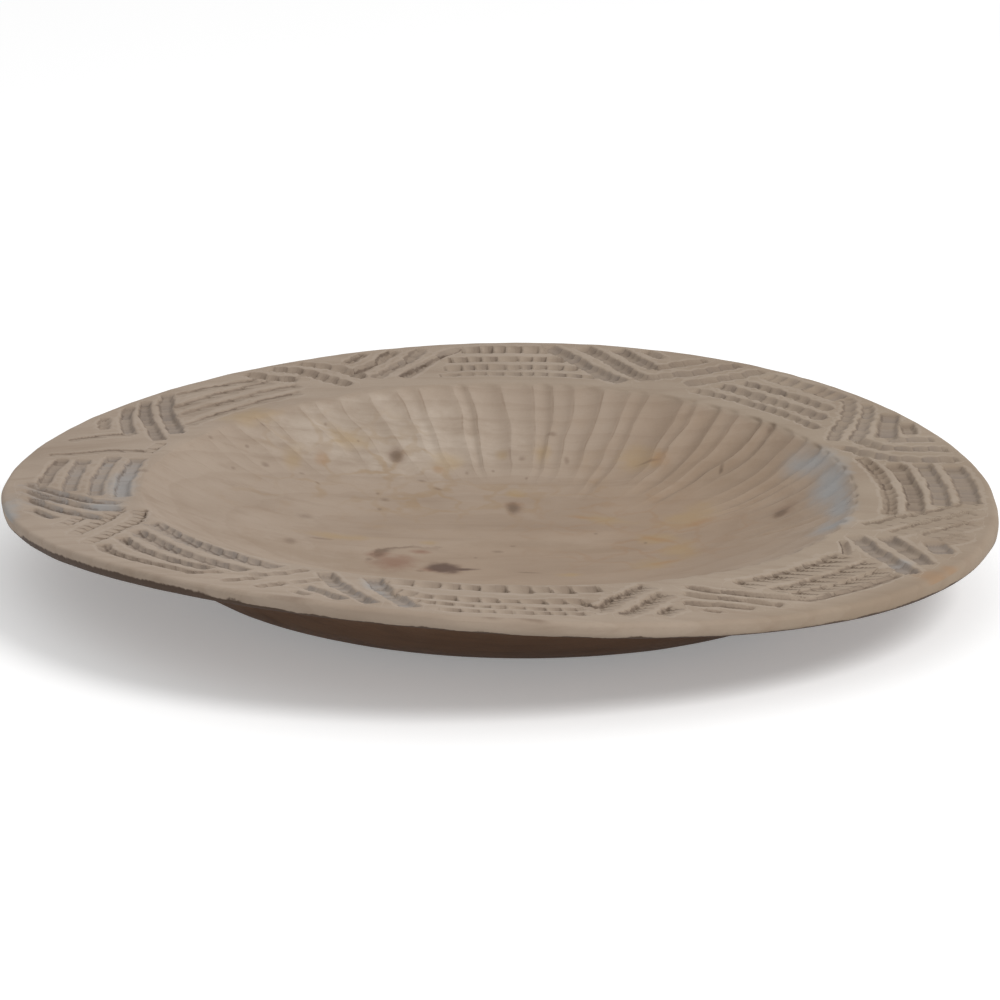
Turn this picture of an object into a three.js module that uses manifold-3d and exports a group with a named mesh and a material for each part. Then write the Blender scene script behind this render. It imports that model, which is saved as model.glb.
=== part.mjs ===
// Hand-carved wooden plate: one piece of wood with a shallow bowl and a broad flat rim.
// The rim carries a band of carved fields of grooves with nested chevrons between them.
// Millimetres, +Z up. The origin lies under the middle of the rim, on the plane of the foot.

import * as THREE from 'three';
import * as BufferGeometryUtils from 'three/addons/utils/BufferGeometryUtils.js';
import Module from 'manifold-3d';

const wasm = await Module();
wasm.setup();

const degree = Math.PI / 180;

// Driving dimensions of the form
const rimRadius = 201;
const rimWidth = 56.5;
const plateHeight = 40;
const floorThickness = 11;
const footRadius = 103;
const edgeThickness = 7;
const edgeRounding = 2.2;
const rimRootThickness = 13;
const rimRootSetback = 14;
const flankFullness = 36;
const flankHollow = 14;
const flankRootSlope = 0.33;
const lipRounding = 2.5;
const lipDrop = 1;
const wallSteepness = 3.6;

// Driving dimensions of the shape that the wood and the hand gave it
const saddleWarp = 6.3;
const saddleDirection = 69 * degree;
const lobeWarp = 2.2;
const lobeDirection = 2 * degree;
const warpCurve = 1.15;
const outlineOval = 2.8;
const ovalDirection = -45 * degree;
const outlineSquareness = 2.9;
const squareDirection = -22.5 * degree;
const footShift = 6;

// Driving dimensions of the carved band
const deepestGroove = 2.2;
const grooveRunOut = 0.55;
const grooveEnd = 2.6;
const strokeStep = 16;

// What each tool leaves: the groove's depth and its flat floor as shares of its width, and how far
// the floor lies off the groove's middle, from -1 at the bowl's side to 1 at the edge's side
const tools = {
  trough: { depthShare: 0.33, floorShare: 0.55, lean: 0 },
  leaf: { depthShare: 0.28, floorShare: 0.35, lean: 0 },
  scallop: { depthShare: 0.24, floorShare: 0.45, lean: 0 },
  vee: { depthShare: 0.3, floorShare: 0.15, lean: 0 },
  rope: { depthShare: 0.26, floorShare: 0.35, lean: 0.4 },
  feather: { depthShare: 0.15, floorShare: 0.15, lean: -0.7 },
};

// The carving: the tool of each groove, its width, and its route, as pairs of a direction in degrees
// and a share of the way from the lip to the rim's edge
const grooves = [
  // Field on the right
  ['trough', 8.6, [7, 0.81], [-6.2, 0.81]],
  ['trough', 7, [8.6, 0.6], [-7.8, 0.6]],
  ['trough', 7, [9.4, 0.4], [0, 0.41], [-11.2, 0.43]],
  ['scallop', 5.6, [13, 0.2], [6, 0.22], [0, 0.23], [-13.2, 0.26]],
  // Chevrons, right to far right
  ['leaf', 8.4, [10, 0.88], [10.4, 0.64], [11.8, 0.43], [14.6, 0.29], [19, 0.17]],
  ['leaf', 8.4, [14.2, 0.88], [15.4, 0.62], [17.2, 0.44], [22, 0.34]],
  ['leaf', 8.2, [18.2, 0.87], [20, 0.56]],
  ['leaf', 7.6, [37.6, 0.85], [35.4, 0.75], [31.4, 0.56], [27.4, 0.33], [23.4, 0.18]],
  ['leaf', 7.8, [34, 0.87], [31.4, 0.76], [28, 0.59], [24.8, 0.46], [22.2, 0.33]],
  ['trough', 7.8, [29.2, 0.88], [25.8, 0.73], [21.2, 0.58]],
  ['vee', 5.4, [25.2, 0.91], [21.8, 0.81]],
  // Field on the far right
  ['scallop', 11, [51.4, 0.81], [38.6, 0.81]],
  ['leaf', 7.4, [52.8, 0.57], [36, 0.57]],
  ['leaf', 8.2, [54.8, 0.41], [45, 0.37], [33.2, 0.4]],
  ['leaf', 7, [56.8, 0.22], [30, 0.22]],
  // Chevrons, far right to far side
  ['leaf', 8.2, [53.8, 0.86], [55.6, 0.64], [59.6, 0.32]],
  ['leaf', 8.2, [57.6, 0.88], [61, 0.57], [67, 0.31]],
  ['leaf', 7.6, [62.4, 0.86], [67, 0.55]],
  ['trough', 8.2, [83, 0.85], [79.4, 0.62], [76.4, 0.43], [73.2, 0.28], [69.8, 0.19]],
  ['trough', 7.6, [78.6, 0.88], [74.2, 0.63], [70.4, 0.42], [66.6, 0.3]],
  ['trough', 7.6, [74, 0.88], [70.6, 0.69], [67.4, 0.56]],
  ['vee', 6.4, [70.4, 0.91], [67.8, 0.8]],
  // Field on the far side
  ['scallop', 10.6, [94.2, 0.8], [82.8, 0.79]],
  ['scallop', 7.4, [96.4, 0.57], [80.4, 0.57]],
  ['scallop', 7.2, [97.4, 0.38], [78, 0.38]],
  ['scallop', 4.8, [98.4, 0.23], [74.4, 0.22]],
  // Chevrons, far side to far left
  ['vee', 7, [94.8, 0.84], [96.8, 0.73], [99.4, 0.56], [104.2, 0.27]],
  ['leaf', 7.6, [99.8, 0.86], [102, 0.64], [105.2, 0.49], [108.4, 0.32]],
  ['vee', 7.2, [103.4, 0.88], [106, 0.68], [110.4, 0.5]],
  ['leaf', 6.4, [107.4, 0.88], [110, 0.75]],
  ['leaf', 8.8, [123.4, 0.87], [121.4, 0.66], [119.4, 0.54]],
  ['leaf', 9, [119.8, 0.88], [117.2, 0.71], [115.4, 0.46], [113.6, 0.24]],
  ['leaf', 8, [115.8, 0.88], [112.4, 0.66], [110.2, 0.36]],
  // Field on the far left
  ['feather', 7, [134.6, 0.8], [130, 0.77], [124.2, 0.69]],
  ['feather', 8, [138.6, 0.575], [123, 0.585]],
  ['feather', 8, [140.4, 0.395], [130, 0.39], [120.6, 0.395]],
  ['feather', 6.4, [144, 0.21], [122.2, 0.225]],
  // Chevrons, far left to left
  ['trough', 8.2, [135.6, 0.87], [138.6, 0.7], [141.4, 0.54], [144.8, 0.34], [148.4, 0.17]],
  ['trough', 7, [139.2, 0.87], [143, 0.67], [147.8, 0.4], [152.6, 0.19]],
  ['trough', 7.2, [142, 0.88], [146.4, 0.69], [151.2, 0.47]],
  ['leaf', 7, [146.8, 0.86], [150.2, 0.72]],
  ['feather', 5.6, [162.4, 0.8], [161.6, 0.62], [159.6, 0.42], [159, 0.16]],
  ['feather', 6, [156, 0.8], [153.2, 0.62], [151.6, 0.46]],
  ['feather', 5, [159.2, 0.13], [154.6, 0.13]],
  // Field on the left
  ['trough', 6.2, [164.4, 0.68], [170, 0.69], [176, 0.7]],
  ['trough', 6.8, [164.4, 0.52], [170, 0.5], [179, 0.5]],
  ['trough', 6.8, [162.6, 0.33], [170, 0.31], [182.6, 0.31]],
  ['trough', 7.6, [163.6, 0.135], [170, 0.12], [184, 0.125]],
  // Chevrons, left to near left
  ['vee', 8.4, [174.8, 0.83], [178.6, 0.67], [182.6, 0.49], [186, 0.35], [188.2, 0.18]],
  ['vee', 8.4, [178, 0.82], [182, 0.68], [186.2, 0.51], [190.2, 0.37], [191.8, 0.18]],
  ['vee', 8.4, [182, 0.81], [187, 0.68], [191.6, 0.54], [196, 0.39]],
  ['vee', 7, [188, 0.8], [193.4, 0.7]],
  ['feather', 7.4, [209, 0.74], [206.2, 0.53], [203.4, 0.37], [200.4, 0.2], [197.4, 0.1], [193.4, 0.06]],
  ['feather', 8, [203.2, 0.7], [200.6, 0.55], [196.4, 0.34], [192.4, 0.22]],
  ['feather', 7, [198, 0.71], [196, 0.58], [193.4, 0.48]],
  // Field on the near left
  ['rope', 6.2, [211.4, 0.68], [214, 0.74], [218, 0.755], [231.4, 0.735]],
  ['rope', 6.8, [209, 0.46], [216, 0.53], [223, 0.56], [231, 0.56]],
  ['rope', 8.6, [205.8, 0.27], [213, 0.3], [224, 0.37], [235, 0.42]],
  ['rope', 9.2, [202.4, 0.04], [215, 0.08], [226, 0.13], [236.8, 0.19]],
  // Chevrons, near left to near side
  ['vee', 6.4, [231.2, 0.77], [233.4, 0.59]],
  ['vee', 7.2, [237, 0.79], [239, 0.57]],
  ['vee', 6.4, [242, 0.79], [243, 0.59]],
  ['vee', 6.6, [237.6, 0.5], [239.6, 0.34], [241.2, 0.14]],
  ['vee', 6, [244, 0.51], [246, 0.32]],
  ['trough', 8.8, [260.6, 0.82], [258.2, 0.62], [255.2, 0.38], [252, 0.1]],
  ['trough', 8.2, [256, 0.82], [252.4, 0.59], [248.6, 0.37], [244.6, 0.12]],
  ['trough', 6.6, [252.4, 0.81], [249.6, 0.69], [246, 0.58]],
  ['vee', 5.6, [248.2, 0.82], [246.4, 0.77]],
  // Field on the near side
  ['scallop', 5.6, [264, 0.84], [270.6, 0.79], [280.4, 0.765]],
  ['scallop', 5.4, [260.8, 0.65], [268, 0.67], [280, 0.655]],
  ['scallop', 8.2, [257, 0.39], [260.6, 0.48], [266, 0.49], [275, 0.47], [281.6, 0.43]],
  ['scallop', 11.6, [254.8, 0.12], [270, 0.14], [284.8, 0.13]],
  // Chevrons, near side to near right
  ['leaf', 8.8, [280.2, 0.77], [282.6, 0.66], [286, 0.41], [289, 0.26], [292.4, 0.14]],
  ['leaf', 8.4, [285, 0.78], [287.4, 0.66], [290.6, 0.47], [293.4, 0.34]],
  ['leaf', 7.4, [289.6, 0.79], [292.2, 0.65]],
  ['vee', 8, [309.2, 0.77], [305.6, 0.6], [303.6, 0.48], [300.8, 0.38], [297.8, 0.22]],
  ['vee', 7.6, [304.6, 0.78], [302, 0.61], [299.2, 0.5], [296, 0.36]],
  ['vee', 7.4, [300.8, 0.78], [298, 0.65], [294.2, 0.56]],
  ['vee', 5.2, [296.4, 0.79], [295.2, 0.74]],
  // Field on the near right
  ['rope', 5, [309, 0.77], [324, 0.765]],
  ['feather', 6, [309, 0.66], [324, 0.67]],
  ['feather', 8.6, [308, 0.52], [325.8, 0.51]],
  ['feather', 9, [305.4, 0.31], [325.6, 0.31]],
  ['vee', 4.6, [327, 0.29], [331.4, 0.16]],
  // Chevrons, near right to right
  ['trough', 8.4, [326, 0.8], [328.2, 0.59], [330.8, 0.38], [334.4, 0.19]],
  ['trough', 8.2, [330, 0.79], [333, 0.58], [336.4, 0.37]],
  ['trough', 9.6, [334.6, 0.8], [337.2, 0.69]],
  ['feather', 7.6, [353, 0.83], [350, 0.67], [347, 0.49], [343.6, 0.33], [340.2, 0.19]],
  ['feather', 7.6, [349.4, 0.83], [346.8, 0.7], [343.2, 0.53], [338.8, 0.39]],
  ['feather', 7.6, [345.6, 0.84], [343.4, 0.74], [339.4, 0.62]],
  ['feather', 6.6, [341, 0.83], [338.4, 0.75]],
];

// Fineness of the faceted surfaces
const turnSteps = 60;
const flankSteps = 6;
const bowlSteps = 7;
const roundingSteps = 2;

// Radii and depths that follow from the dimensions, with depth 0 at the top of the rim's edge
const lipRadius = rimRadius - rimWidth;
const bowlDepth = plateHeight - floorThickness - lipDrop;
const rootRadius = lipRadius + rimRootSetback;

// How far a point has come from the foot towards the rim's edge, from 0 to 1
function reachFromFoot(radius) {
  const share = (radius - footRadius) / (rimRadius - footRadius);
  return Math.pow(Math.max(share, 0), warpCurve);
}

// Moves a point of the true round form to where drying and carving by eye left it
function settle(point) {
  const radius = Math.hypot(point.x, point.y);
  const angle = Math.atan2(point.y, point.x);
  const reach = reachFromFoot(radius);
  const oval = outlineOval * Math.cos(2 * (angle - ovalDirection));
  const square = outlineSquareness * Math.cos(4 * (angle - squareDirection));
  const grown = radius + reach * (oval + square);
  const saddle = saddleWarp * Math.cos(2 * (angle - saddleDirection));
  const lobes = lobeWarp * Math.cos(3 * (angle - lobeDirection));
  const shift = footShift * (-point.z / plateHeight);
  return new THREE.Vector3(
    grown * Math.cos(angle) + shift,
    grown * Math.sin(angle),
    point.z + reach * (saddle + lobes) + plateHeight,
  );
}

// Height of the rim's top at a radius, which falls a little from the edge to the lip
function rimTop(radius) {
  return -lipDrop * (rimRadius - radius) / rimWidth;
}

// Height of the bowl's inner surface at a radius: nearly level in the middle, steep at the lip
function bowlSurface(radius) {
  return -lipDrop - bowlDepth * (1 - Math.pow(radius / lipRadius, wallSteepness));
}

// Half of the plate's section, from the middle of the foot round the rim to the bowl's middle
function plateSection() {
  const flank = new THREE.CubicBezierCurve(
    new THREE.Vector2(footRadius, -plateHeight),
    new THREE.Vector2(footRadius + flankFullness, -plateHeight),
    new THREE.Vector2(rootRadius - flankHollow, -rimRootThickness - flankHollow * flankRootSlope),
    new THREE.Vector2(rootRadius, -rimRootThickness),
  );
  const lip = new THREE.QuadraticBezierCurve(
    new THREE.Vector2(lipRadius + lipRounding, rimTop(lipRadius + lipRounding)),
    new THREE.Vector2(lipRadius, rimTop(lipRadius)),
    new THREE.Vector2(lipRadius - lipRounding, bowlSurface(lipRadius - lipRounding)),
  );
  const section = [new THREE.Vector2(0, -plateHeight), ...flank.getPoints(flankSteps)];
  for (const [low, start] of [[edgeThickness - edgeRounding, -90], [edgeRounding, 0]]) {
    for (let step = 0; step <= roundingSteps; step += 1) {
      const turn = (start + 90 * step / roundingSteps) * degree;
      const radius = rimRadius - edgeRounding + edgeRounding * Math.cos(turn);
      section.push(new THREE.Vector2(radius, -low + edgeRounding * Math.sin(turn)));
    }
  }
  section.push(...lip.getPoints(roundingSteps));
  for (let step = 1; step < bowlSteps; step += 1) {
    const radius = (lipRadius - lipRounding) * (1 - step / bowlSteps);
    section.push(new THREE.Vector2(radius, bowlSurface(radius)));
  }
  section.push(new THREE.Vector2(0, bowlSurface(0)));
  return section;
}

// A closed geometry as a solid that can be cut, with coincident points merged
function solidFrom(geometry) {
  geometry.deleteAttribute('normal');
  geometry.deleteAttribute('uv');
  const merged = BufferGeometryUtils.mergeVertices(geometry, 1e-4);
  const corners = merged.index.array;
  const kept = [];
  for (let i = 0; i < corners.length; i += 3) {
    const [a, b, c] = [corners[i], corners[i + 1], corners[i + 2]];
    if (a !== b && b !== c && c !== a) {
      kept.push(a, b, c);
    }
  }
  return new wasm.Manifold(new wasm.Mesh({
    numProp: 3,
    vertProperties: new Float32Array(merged.attributes.position.array),
    triVerts: new Uint32Array(kept),
  }));
}

// The plate before carving: the section turned round the axis, then settled
function blankPlate() {
  const geometry = new THREE.LatheGeometry(plateSection(), turnSteps);
  geometry.rotateX(Math.PI / 2);
  const position = geometry.attributes.position;
  const point = new THREE.Vector3();
  for (let i = 0; i < position.count; i += 1) {
    point.fromBufferAttribute(position, i);
    const settled = settle(point);
    position.setXYZ(i, settled.x, settled.y, settled.z);
  }
  return solidFrom(geometry);
}

// Places along a groove's route, [radius, angle, whether at an end], close to its ends and then evenly
function stationsOf(route) {
  const corners = route.map(([direction, share]) => [lipRadius + share * rimWidth, direction * degree]);
  const legs = [];
  for (let i = 1; i < corners.length; i += 1) {
    const [[radiusA, angleA], [radiusB, angleB]] = [corners[i - 1], corners[i]];
    legs.push(Math.hypot(radiusB - radiusA, (angleB - angleA) * (radiusA + radiusB) / 2));
  }
  const whole = legs.reduce((sum, leg) => sum + leg, 0);
  const end = Math.min(grooveEnd, whole / 4);
  const count = Math.max(1, Math.round((whole - 2 * end) / strokeStep));
  const marks = [0];
  for (let step = 0; step <= count; step += 1) {
    marks.push(end + (whole - 2 * end) * step / count);
  }
  marks.push(whole);
  return marks.map((mark, place) => {
    let leg = 0;
    let left = mark;
    while (leg < legs.length - 1 && left > legs[leg]) {
      left -= legs[leg];
      leg += 1;
    }
    const share = Math.min(left / legs[leg], 1);
    const [[radiusA, angleA], [radiusB, angleB]] = [corners[leg], corners[leg + 1]];
    const radius = radiusA + (radiusB - radiusA) * share;
    const angle = angleA + (angleB - angleA) * share;
    return [radius, angle, place === 0 || place === marks.length - 1];
  });
}

// One stroke of the gouge across the rim's top, which starts and ends by running out of the wood
class GougeStroke extends THREE.Curve {
  constructor(route, depth) {
    super();
    this.points = stationsOf(route).map(([radius, angle, atEnd]) => {
      const height = rimTop(radius) + (atEnd ? grooveRunOut : -depth);
      return settle(new THREE.Vector3(radius * Math.cos(angle), radius * Math.sin(angle), height));
    });
    this.steps = this.points.length - 1;
  }

  getPoint(share) {
    return this.points[Math.round(share * this.steps)].clone();
  }

  getPointAt(share) {
    return this.getPoint(share);
  }

  // Frames that stay upright along the stroke, so that the wedge always opens upwards
  computeFrenetFrames(steps) {
    const frames = { tangents: [], normals: [], binormals: [] };
    for (let step = 0; step <= steps; step += 1) {
      const before = this.points[Math.max(step - 1, 0)];
      const after = this.points[Math.min(step + 1, steps)];
      const tangent = new THREE.Vector3().subVectors(after, before).setZ(0).normalize();
      const down = new THREE.Vector3(0, 0, -1);
      frames.tangents.push(tangent);
      frames.normals.push(down);
      frames.binormals.push(new THREE.Vector3().crossVectors(tangent, down));
    }
    return frames;
  }
}

// The wedge of wood that a stroke takes out, with its sides carried on to well above the rim
function wedgeOf([tool, width, ...route]) {
  const { depthShare, floorShare, lean } = tools[tool];
  const depth = Math.min(deepestGroove, depthShare * width);
  const stroke = new GougeStroke(route, depth);
  const middle = stroke.getPoint(0.5);
  const heading = new THREE.Vector3().subVectors(stroke.getPoint(1), stroke.getPoint(0));
  const edgeSide = Math.sign(heading.x * middle.y - heading.y * middle.x);
  const halfFloor = width * floorShare / 2;
  const floorOffset = edgeSide * lean * (width / 2 - halfFloor);
  const rise = 2 * depth + grooveRunOut;
  const side = (mouth, floor) => floor + (mouth - floor) * (rise / depth);
  const wedge = new THREE.Shape([
    new THREE.Vector2(0, floorOffset - halfFloor),
    new THREE.Vector2(0, floorOffset + halfFloor),
    new THREE.Vector2(-rise, side(width / 2, floorOffset + halfFloor)),
    new THREE.Vector2(-rise, side(-width / 2, floorOffset - halfFloor)),
  ]);
  return solidFrom(new THREE.ExtrudeGeometry(wedge, {
    steps: stroke.steps,
    curveSegments: 1,
    bevelEnabled: false,
    extrudePath: stroke,
  }));
}

// The plate with its band carved
function carvedPlate() {
  let plate = blankPlate();
  for (const groove of grooves) {
    plate = plate.subtract(wedgeOf(groove));
  }
  const { vertProperties, triVerts } = plate.getMesh();
  const geometry = new THREE.BufferGeometry();
  geometry.setAttribute('position', new THREE.BufferAttribute(vertProperties, 3));
  geometry.setIndex(new THREE.BufferAttribute(triVerts, 1));
  geometry.computeVertexNormals();
  return geometry;
}

const paleWood = new THREE.MeshStandardMaterial({ color: 0xa48e79, roughness: 0.85, metalness: 0 });

const plate = new THREE.Mesh(carvedPlate(), paleWood);
plate.name = 'carved_plate';

const object = new THREE.Group();
object.name = 'carved_wooden_plate';
object.add(plate);

export default object;
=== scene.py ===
"""Hand-carved wooden plate, dressed over its frame: wood, gouge marks, carved band, light and camera."""

import math

import bpy
import numpy as np
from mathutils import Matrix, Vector, noise


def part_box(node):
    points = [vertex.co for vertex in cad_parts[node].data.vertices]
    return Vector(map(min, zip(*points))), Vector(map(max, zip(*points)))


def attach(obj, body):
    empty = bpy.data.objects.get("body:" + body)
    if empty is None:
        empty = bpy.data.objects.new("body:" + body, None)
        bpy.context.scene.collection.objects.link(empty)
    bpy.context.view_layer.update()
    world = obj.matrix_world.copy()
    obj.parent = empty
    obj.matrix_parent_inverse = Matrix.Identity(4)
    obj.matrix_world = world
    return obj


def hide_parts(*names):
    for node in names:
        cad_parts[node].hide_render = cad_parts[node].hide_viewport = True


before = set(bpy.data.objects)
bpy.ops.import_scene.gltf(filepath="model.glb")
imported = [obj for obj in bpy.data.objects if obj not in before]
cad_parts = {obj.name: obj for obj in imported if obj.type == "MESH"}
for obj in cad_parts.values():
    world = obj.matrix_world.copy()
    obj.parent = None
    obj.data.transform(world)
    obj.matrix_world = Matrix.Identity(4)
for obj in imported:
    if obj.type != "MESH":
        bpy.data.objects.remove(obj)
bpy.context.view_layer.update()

# The blank plate
# One flat-sawn board of pale wood, hewn to a round dish with a broad flat rim and a flat foot.
# It is drawn as its half section, and each zone of it has as many points round as its carving needs.

plate_low, plate_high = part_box("carved_plate")
RIM_RADIUS = (plate_high.y - plate_low.y) / 2
RIM_WIDTH = 0.0565
PLATE_HEIGHT = 0.040
FLOOR_THICKNESS = 0.011
FOOT_RADIUS = 0.103
EDGE_THICKNESS = 0.007
EDGE_ROUNDING = 0.0022
TOP_TURNS = (90, 64, 42, 21, 0)
BOTTOM_TURNS = (0, -30, -60, -90)
ROOT_THICKNESS = 0.013
ROOT_SETBACK = 0.014
FLANK_FULLNESS = 0.036
FLANK_HOLLOW = 0.014
FLANK_ROOT_SLOPE = 0.33
LIP_ROUNDING = 0.0025
LIP_DROP = 0.001
WALL_STEEPNESS = 3.6
LIP_RADIUS = RIM_RADIUS - RIM_WIDTH
BOWL_DEPTH = PLATE_HEIGHT - FLOOR_THICKNESS - LIP_DROP
ROOT_RADIUS = LIP_RADIUS + ROOT_SETBACK
WALL_FOOT_RADIUS = 0.068
CENTRE_RADIUS = 0.0004

# Points round the plate, and rings of them, in each zone
UNDERSIDE_POINTS = 440
BAND_POINTS = 1320
WALL_POINTS = 660
FLOOR_POINTS = 220
FLANK_RINGS = 13
BAND_RINGS = 49
WALL_RINGS = 18
FLOOR_RINGS = 14

# How near points must be to count as on a seam, and to be joined into one
ON_SEAM = 0.00002
SAME_POINT = 0.00001


def rim_top(radius):
    """Height of the rim's top at a radius, with 0 at the edge"""
    return -LIP_DROP * (RIM_RADIUS - radius) / RIM_WIDTH


def bowl_surface(radius):
    """Height of the bowl's inner surface at a radius"""
    return -LIP_DROP - BOWL_DEPTH * (1 - (radius / LIP_RADIUS) ** WALL_STEEPNESS)


def bezier(points, share):
    """Point at a share of the way along a Bezier curve"""
    while len(points) > 1:
        points = [here.lerp(there, share) for here, there in zip(points, points[1:])]
    return points[0]


def ring_surface(section, count):
    """A round surface: a circle, extruded and resized from each point of a half section to the next"""
    bpy.ops.object.select_all(action="DESELECT")
    bpy.ops.mesh.primitive_circle_add(vertices=count, radius=section[0].x, location=(0, 0, section[0].y))
    surface = bpy.context.object
    bpy.ops.object.transform_apply(location=True)
    bpy.ops.object.mode_set(mode="EDIT")
    for here, there in zip(section, section[1:]):
        growth = there.x / here.x
        bpy.ops.mesh.extrude_edges_move(TRANSFORM_OT_translate={"value": (0, 0, there.y - here.y)})
        bpy.ops.transform.resize(value=(growth, growth, 1), center_override=(0, 0, 0))
    if section[-1].x <= CENTRE_RADIUS:
        bpy.ops.mesh.merge(type="CENTER")
    bpy.ops.object.mode_set(mode="OBJECT")
    return surface


# The underside, round the rim's edge and down the flank to the middle of the foot
corner = RIM_RADIUS - EDGE_ROUNDING
underside_section = []
for level, turns in ((-EDGE_ROUNDING, TOP_TURNS), (EDGE_ROUNDING - EDGE_THICKNESS, BOTTOM_TURNS)):
    for turn in np.radians(turns):
        outwards, upwards = EDGE_ROUNDING * math.cos(turn), EDGE_ROUNDING * math.sin(turn)
        underside_section.append(Vector((corner + outwards, level + upwards)))
root = Vector((ROOT_RADIUS, -ROOT_THICKNESS))
below_edge = underside_section[-1]
underside_section += [below_edge.lerp(root, share) for share in (0.2, 0.4, 0.6, 0.8)]
flank = [
    root,
    Vector((ROOT_RADIUS - FLANK_HOLLOW, -ROOT_THICKNESS - FLANK_HOLLOW * FLANK_ROOT_SLOPE)),
    Vector((FOOT_RADIUS + FLANK_FULLNESS, -PLATE_HEIGHT)),
    Vector((FOOT_RADIUS, -PLATE_HEIGHT)),
]
foot_radii = (0.09, 0.06, 0.03, 0.01, CENTRE_RADIUS)
underside_section += [bezier(flank, share) for share in np.linspace(0, 1, FLANK_RINGS)]
underside_section += [Vector((radius, -PLATE_HEIGHT)) for radius in foot_radii]

# The band, from beside the edge over the rim's top and half round the lip
lip = [
    Vector((LIP_RADIUS + LIP_ROUNDING, rim_top(LIP_RADIUS + LIP_ROUNDING))),
    Vector((LIP_RADIUS, rim_top(LIP_RADIUS))),
    Vector((LIP_RADIUS - LIP_ROUNDING, bowl_surface(LIP_RADIUS - LIP_ROUNDING))),
]
band_radii = np.linspace(corner, lip[0].x, BAND_RINGS)[1:-1]
band_section = [Vector((radius, rim_top(radius))) for radius in band_radii]
band_section += [bezier(lip, share) for share in (0, 0.12, 0.24, 0.36, 0.48, 0.6)]

# The bowl's wall, and its floor
wall_radii = np.linspace(lip[2].x, WALL_FOOT_RADIUS, WALL_RINGS)
wall_section = [bezier(lip, 0.72), bezier(lip, 0.86)]
wall_section += [Vector((radius, bowl_surface(radius))) for radius in wall_radii]
floor_radii = np.linspace(WALL_FOOT_RADIUS, CENTRE_RADIUS, FLOOR_RINGS)[1:]
floor_section = [Vector((radius, bowl_surface(radius))) for radius in floor_radii]

zones = [
    ring_surface(underside_section, UNDERSIDE_POINTS),
    ring_surface(band_section, BAND_POINTS),
    ring_surface(wall_section, WALL_POINTS),
    ring_surface(floor_section, FLOOR_POINTS),
]
seams = [
    (underside_section[0], band_section[0]),
    (band_section[-1], wall_section[0]),
    (wall_section[-1], floor_section[0]),
]
bpy.ops.object.select_all(action="DESELECT")
for zone in zones:
    zone.select_set(True)
plate = zones[0]
bpy.context.view_layer.objects.active = plate
bpy.ops.object.join()
plate.name = "plate_wood"
mesh = plate.data


def point_places():
    """The places of all the plate's points, one row each"""
    flat = np.empty(len(mesh.vertices) * 3)
    mesh.vertices.foreach_get("co", flat)
    return flat.reshape(-1, 3)


# Each zone's last ring is bridged to the next zone's first
for seam in seams:
    places = point_places()
    section_places = np.column_stack([np.hypot(places[:, 0], places[:, 1]), places[:, 2]])
    on_seam = np.zeros(len(places), bool)
    for end in seam:
        on_seam |= np.hypot(*(section_places - np.array(end)).T) < ON_SEAM
    bpy.ops.object.mode_set(mode="EDIT")
    bpy.ops.mesh.select_mode(type="VERT")
    bpy.ops.mesh.select_all(action="DESELECT")
    bpy.ops.object.mode_set(mode="OBJECT")
    mesh.vertices.foreach_set("select", on_seam)
    bpy.ops.object.mode_set(mode="EDIT")
    bpy.ops.mesh.select_mode(type="EDGE")
    bpy.ops.mesh.bridge_edge_loops()
    bpy.ops.object.mode_set(mode="OBJECT")
bpy.ops.object.mode_set(mode="EDIT")
bpy.ops.mesh.select_all(action="SELECT")
bpy.ops.mesh.remove_doubles(threshold=SAME_POINT)
bpy.ops.mesh.normals_make_consistent(inside=False)
bpy.ops.object.mode_set(mode="OBJECT")
bpy.ops.object.shade_smooth()

points = point_places()
radius = np.hypot(points[:, 0], points[:, 1])
angle = np.arctan2(points[:, 1], points[:, 0])
direction = np.degrees(angle) % 360
height = points[:, 2]

# The upper side is what lies above a surface half-way through the wood
RIM_HALF_WAY = -0.0018
bowl_half_way = bowl_surface(np.minimum(radius, LIP_RADIUS)) - FLOOR_THICKNESS / 2
upper = (height > np.where(radius < LIP_RADIUS, bowl_half_way, RIM_HALF_WAY)).astype(float)
underneath = 1 - upper


def smooth_step(value):
    """0 below 0, 1 above 1, and an even slope between"""
    held = np.clip(value, 0, 1)
    return held * held * (3 - 2 * held)


def noise_at(places, grain):
    """Smooth noise, about -1 to 1, with a grain of one size or of three along the axes"""
    return np.array([noise.noise(place) for place in (places / np.array(grain)).tolist()])


def facets_at(places, size):
    """Distance from the middle of the nearest facet, about 0 to 1, over facets of about a size"""
    return np.array([noise.voronoi(place)[0][0] for place in (places / np.array(size)).tolist()])


# The gouged bowl
# The wall was cut from the lip downwards with a broad gouge, stroke beside stroke all the way round.
# The strokes die out on the floor, which was dressed with lighter, shallower cuts.

FLUTE_COUNT = 78
FLUTE_DEPTH = 0.0013
FLUTE_JITTER = 0.27
FLUTE_FADE = 0.032
FLUTE_WANDER = 0.0042
WANDER_CENTRE = 0.02
FLUTE_SEAM = math.radians(200)
FLUTE_TOP_GAP = 0.0035
LIP_SCALLOP = 0.0024
LIP_FADE = 0.0030
LIP_SLOPE = 0.7
DIMPLE_DEPTH = 0.0005
DIMPLE_SIZE = (0.019, 0.013, 0.013)
DIMPLES_CUT_AWAY = 0.7
CARVER_SEED = 41

# In each direction, how boldly the strokes show and the radius down to which they run: cleanest
# and longest on the far and right-hand wall, and smoothed nearly away on the left
FLUTE_DIRECTIONS = (0, 25, 60, 100, 130, 150, 200, 230, 270, 320, 360)
BOLDNESS = (1.10, 1.20, 1.10, 0.85, 0.65, 0.45, 0.25, 0.40, 0.60, 0.90, 1.10)
END_RADII = (0.096, 0.090, 0.080, 0.080, 0.096, 0.106, 0.104, 0.100, 0.100, 0.100, 0.096)

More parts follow.
